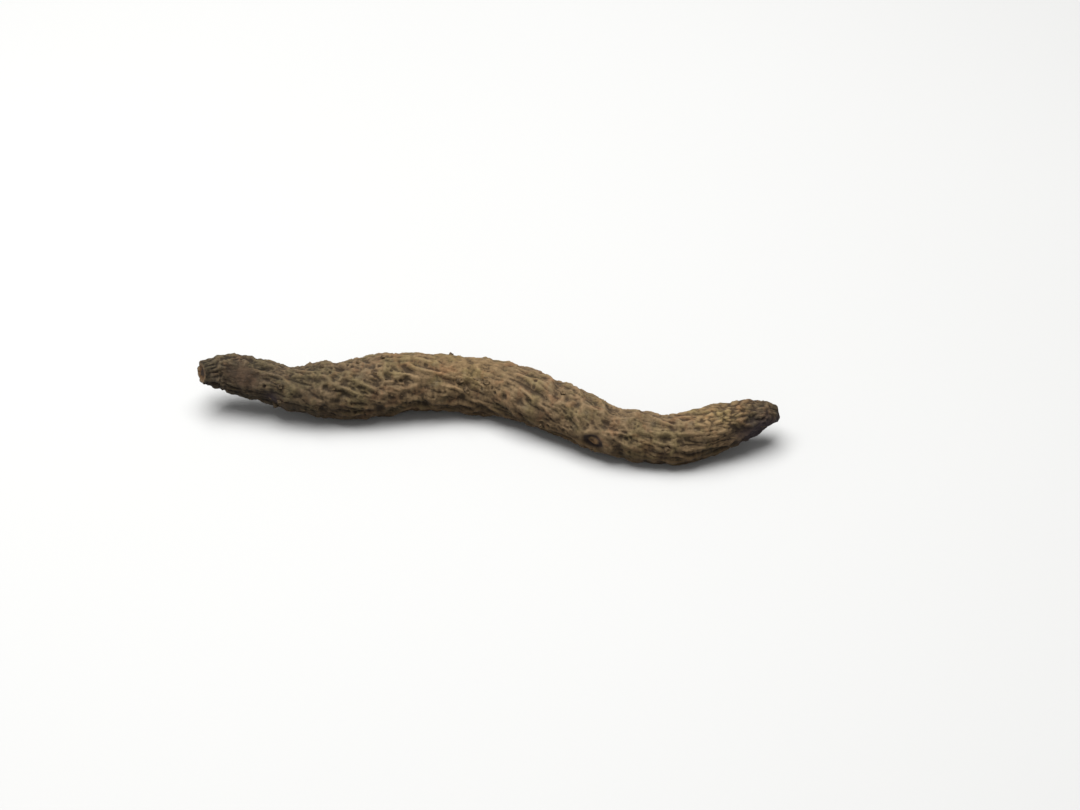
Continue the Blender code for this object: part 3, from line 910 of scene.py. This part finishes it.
class ROOT_OT_add_bark(Operator):
    """Makes the root's whole bark, with the cut face, in place of the plain solid"""

    bl_idname = "dried_root.add_bark"
    bl_label = "Add Bark"

    def execute(self, context):
        bark = made_bark(context.scene.root_bark_settings)
        bm = bmesh.new()
        bmesh.ops.create_uvsphere(bm, u_segments=BARK_SIDES, v_segments=BARK_RINGS, radius=1.0)
        mesh = bpy.data.meshes.new("rhizome_bark")
        bm.to_mesh(mesh)
        bm.free()
        spots = np.empty(len(mesh.vertices) * 3)
        mesh.vertices.foreach_get("co", spots)
        x, y, z = spots.reshape(-1, 3).T
        rows = np.rint(np.arccos(np.clip(z, -1, 1)) / math.pi * BARK_RINGS).astype(int)
        columns = np.rint(np.arctan2(y, x) / math.tau * BARK_SIDES).astype(int) % BARK_SIDES
        mesh.vertices.foreach_set("co", (bark.points[rows, columns] * MM).ravel())
        # Three of these masks, for the relief's ridges and furrows, the underside and the purple, also carry
        # painted shade.
        for name in ("crest", "dark", "pale", "under", "patch", "purple", "face", "ring"):
            mask(mesh, name, getattr(bark, name)[rows, columns])
        bm = bmesh.new()
        bm.from_mesh(mesh)
        bmesh.ops.recalc_face_normals(bm, faces=bm.faces)
        bm.to_mesh(mesh)
        bm.free()
        piece = dressed(linked("rhizome_bark", mesh), bark_material(context.scene.root_colour_settings))
        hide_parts(NODE)
        return {"FINISHED"}


def rootlet_places(line):
    """(distance along, angle, foot radius, height) for each broken rootlet, all clear of the surface."""
    draw = random.Random(SEED + 1)
    found = []
    while len(found) < ROOTLETS:
        along = draw.uniform(ROOTLETS_FROM_MM, line.length - ROOTLETS_TO_MM)
        angle = draw.uniform(0, math.tau)
        size = draw.uniform(*ROOTLET_FOOT_MM)
        height = draw.uniform(*ROOTLET_HEIGHT_MM)
        point, radius, _, up, front = line.at(along)
        end = point + (up * math.cos(angle) + front * math.sin(angle)) * (radius + height)
        if end.z > ROOTLET_FLOOR_MM + size and abs(along - EYE[0]) > ROOTLET_EYE_MM:
            found.append((along, angle, size, height))
    return found


class ROOT_OT_add_rootlets(Operator):
    """Makes the stumps of the rootlets that broke off, each flared at its foot and ragged at its end"""

    bl_idname = "dried_root.add_rootlets"
    bl_label = "Add Broken Rootlets"

    SIDES = 14
    RINGS = 18
    TOP = 0.3  # share of the sphere that becomes the hollowed top, and its roundness
    TOP_ROUND = 0.8
    PITH_TOP = 0.29
    HOLLOW = 0.22  # these are in foot radii: depth of the hollow, and height of the ragged edge
    RAGGED = 0.10
    RAGS = 5
    FLUTES = 4
    FLUTE = 0.10
    FLARE = 1.8  # how late the stump widens towards its foot
    TILT = 0.25

    def execute(self, context):
        line = MiddleLine(STATIONS_MM)
        draw = random.Random(SEED + 8)
        whole = bmesh.new()
        ends = whole.verts.layers.float.new("broken_end")
        darks = whole.verts.layers.float.new("dark")
        for along, angle, size, height in rootlet_places(line):
            point, radius, forward, up, front = line.at(along)
            outward = up * math.cos(angle) + front * math.sin(angle)
            lean = (outward + forward * ROOTLET_LEAN).normalized()
            foot = point + outward * (radius - ROOTLET_SUNK_MM)
            turn = lean.to_track_quat("Z", "Y").to_matrix()
            made = self.add_stump(whole, ends, foot, turn, size, height + ROOTLET_SUNK_MM, draw)
            for vertex in made:
                vertex[darks] = float(darkness(along))
        mesh = bpy.data.meshes.new("broken_rootlets")
        whole.to_mesh(mesh)
        whole.free()
        dressed(linked("broken_rootlets", mesh), rootlet_material(context.scene.root_colour_settings))
        return {"FINISHED"}

    def add_stump(self, whole, ends, foot, turn, size, tall, draw):
        """One stump: a drawn-out sphere with flutes down its side, and a hollowed, ragged top."""
        made = bmesh.ops.create_uvsphere(whole, u_segments=self.SIDES, v_segments=self.RINGS, radius=1.0)
        tilt = draw.uniform(-self.TILT, self.TILT)
        phase = draw.uniform(0, math.tau)
        for vertex in made["verts"]:
            x, y, z = vertex.co
            round_share = math.acos(max(-1.0, min(1.0, z))) / math.pi
            angle = math.atan2(y, x)
            rag = self.RAGGED * size * math.sin(self.RAGS * angle + phase)
            if round_share < self.TOP:
                outward = round_share / self.TOP
                radius = size * ROOTLET_END * outward**self.TOP_ROUND
                up = tall - self.HOLLOW * size * (1 - outward) + rag
            else:
                down = (round_share - self.TOP) / (1 - self.TOP)
                radius = size * between(down**self.FLARE, ROOTLET_END, 1.0) if round_share < 1 else 0.0
                up = tall * (1 - down) + rag * (1 - down) ** 4
            radius *= 1 + self.FLUTE * math.sin(self.FLUTES * angle + phase)
            up += tilt * radius * math.cos(angle)
            vertex[ends] = 1.0 if round_share < self.PITH_TOP else 0.0
            vertex.co = (foot + turn @ Vector((radius * math.cos(angle), radius * math.sin(angle), up))) * MM
        return made["verts"]


class ROOT_OT_add_scales(Operator):
    """Makes small scales of dry bark that have lifted at one end"""

    bl_idname = "dried_root.add_scales"
    bl_label = "Add Bark Scales"

    FROM_MM = 13.0  # no scale lies nearer to the crown than this, to the tip, or to the surface below
    TO_MM = 4.0
    ABOVE_MM = 1.2
    LENGTH_MM = (0.6, 1.5)
    WIDTH_MM = (0.2, 0.45)
    LIFT_MM = (0.0, 0.12)  # how far its free end is lifted
    BEND = 0.3
    SKEW = 0.5
    SLANT = 0.15
    THICK_MM = 0.07
    SUNK_MM = 0.05
    CURL_MM = 0.16  # how far its edges curl down
    WAVE = 0.3  # how wavy its edges are, how many waves it has, and how the bend shifts them
    WAVES = 3
    WAVE_SHIFT = 9

    def execute(self, context):
        settings = context.scene.root_bark_settings
        bark = made_bark(settings)
        draw = random.Random(SEED + 12)
        whole = bmesh.new()
        made = 0
        while made < settings.scales:
            along = draw.uniform(self.FROM_MM, bark.line.length - self.TO_MM)
            angle = draw.uniform(0, math.tau)
            point, outward, ahead = bark.at(along, angle)
            if point.z < self.ABOVE_MM:
                continue
            made += 1
            self.add_scale(whole, point, outward, ahead, draw)
        mesh = bpy.data.meshes.new("bark_scales")
        whole.to_mesh(mesh)
        whole.free()
        dressed(linked("bark_scales", mesh), scale_material(context.scene.root_colour_settings))
        return {"FINISHED"}

    def add_scale(self, whole, point, outward, ahead, draw):
        """One scale: a small curved leaf of bark, thin at its edges, held down at one end."""
        length = draw.uniform(*self.LENGTH_MM)
        width = draw.uniform(*self.WIDTH_MM)
        lift = draw.uniform(*self.LIFT_MM)
        bend = draw.uniform(-self.BEND, self.BEND)
        skew = draw.uniform(-self.SKEW, self.SKEW)
        across = outward.cross(ahead).normalized()
        heading = (ahead + across * (skew - self.SLANT)).normalized()
        across = outward.cross(heading).normalized()
        made = bmesh.ops.create_uvsphere(whole, u_segments=10, v_segments=8, radius=1.0)
        for vertex in made["verts"]:
            x, y, z = vertex.co
            run = x * length / 2
            wave = 1 + self.WAVE * math.sin(self.WAVES * x + bend * self.WAVE_SHIFT)
            side = y * width / 2 * wave + bend * x * x * length / 4
            rise = z * self.THICK_MM + lift * (0.5 + 0.5 * x) - self.SUNK_MM - self.CURL_MM * y * y
            vertex.co = (point + heading * run + across * side + outward * rise) * MM


def add_light(name, place, width, watts):
    """A soft square light that faces the root."""
    light = bpy.data.lights.new(name, "AREA")
    light.shape = "SQUARE"
    light.size = width
    light.energy = watts
    holder = bpy.data.objects.new(name, light)
    holder.location = place
    holder.rotation_euler = (-Vector(place)).to_track_quat("-Z", "Y").to_euler()
    bpy.context.scene.collection.objects.link(holder)


class ROOT_OT_add_stage(Operator):
    """Makes the plain floor, the soft lights and the camera"""

    bl_idname = "dried_root.add_stage"
    bl_label = "Add Stage"

    CAMERA_PLACE = (0.010085, -0.35888, 0.32905)
    LENS_MM = 85.0
    SENSOR_MM = 36.0
    NEAREST = 0.01
    LIGHTS = (  # name, place, width and watts
        ("key_light", (-0.08, 0.07, 0.62), 0.55, 9.4),
        ("front_fill", (0.15, -0.75, 0.45), 0.9, 1.0),
        ("side_fill", (-0.7, -0.1, 0.35), 0.6, 0.4),
    )
    ROOM_LIGHT = 0.24

    def execute(self, context):
        settings = context.scene.root_stage_settings
        self.add_floor(settings)
        for row in self.LIGHTS:
            add_light(*row)
        world = bpy.data.worlds.new("pale_room")
        world.use_nodes = True
        background = world.node_tree.nodes["Background"]
        background.inputs["Color"].default_value = (1.0, 1.0, 1.0, 1.0)
        background.inputs["Strength"].default_value = self.ROOM_LIGHT
        context.scene.world = world
        context.scene.view_settings.view_transform = "Standard"
        camera = bpy.data.objects.new("camera", bpy.data.cameras.new("camera"))
        camera.data.lens = self.LENS_MM
        camera.data.sensor_width = self.SENSOR_MM
        camera.data.clip_start = self.NEAREST
        camera.location = self.CAMERA_PLACE
        camera.rotation_euler = (math.pi / 2 - settings.camera_elevation, 0, 0)
        context.scene.collection.objects.link(camera)
        context.scene.camera = camera
        return {"FINISHED"}

    def add_floor(self, settings):
        bm = bmesh.new()
        bmesh.ops.create_grid(bm, x_segments=1, y_segments=1, size=settings.floor_width / 2)
        mesh = bpy.data.meshes.new("floor")
        bm.to_mesh(mesh)
        bm.free()
        nodes = Nodes("pale_floor")
        cloud = nodes.range(nodes.noise(220.0, 2.0, 0.5), 0.3, 0.7, 0.985, 1.0)
        nodes.put(nodes.shader.inputs["Base Color"], nodes.mix(1.0, settings.floor_colour, cloud, "MULTIPLY"))
        nodes.shader.inputs["Roughness"].default_value = 0.9
        nodes.shader.inputs["Specular IOR Level"].default_value = 0.2
        mesh.materials.append(nodes.material)
        linked("floor", mesh)


class ROOT_PT_panel(Panel):
    """Lists the root's pieces and their settings"""

    bl_label = "Dried Root"
    bl_idname = "ROOT_PT_panel"
    bl_space_type = "VIEW_3D"
    bl_region_type = "UI"
    bl_category = "Dried Root"

    def draw(self, context):
        for name in ("root_bark_settings", "root_colour_settings", "root_stage_settings"):
            settings = getattr(context.scene, name)
            box = self.layout.box()
            for key in settings.__annotations__:
                box.prop(settings, key)
        for operator in OPERATORS:
            self.layout.operator(operator.bl_idname)


OPERATORS = (ROOT_OT_add_bark, ROOT_OT_add_rootlets, ROOT_OT_add_scales, ROOT_OT_add_stage)
CLASSES = (RootBarkSettings, RootColourSettings, RootStageSettings, *OPERATORS, ROOT_PT_panel)


def register():
    for kind in CLASSES:
        bpy.utils.register_class(kind)
    bpy.types.Scene.root_bark_settings = PointerProperty(type=RootBarkSettings)
    bpy.types.Scene.root_colour_settings = PointerProperty(type=RootColourSettings)
    bpy.types.Scene.root_stage_settings = PointerProperty(type=RootStageSettings)


def unregister():
    del bpy.types.Scene.root_stage_settings
    del bpy.types.Scene.root_colour_settings
    del bpy.types.Scene.root_bark_settings
    for kind in reversed(CLASSES):
        bpy.utils.unregister_class(kind)


def main():
    register()
    bpy.ops.dried_root.add_bark()
    bpy.ops.dried_root.add_rootlets()
    bpy.ops.dried_root.add_scales()
    bpy.ops.dried_root.add_stage()


if __name__ == "__main__":
    main()
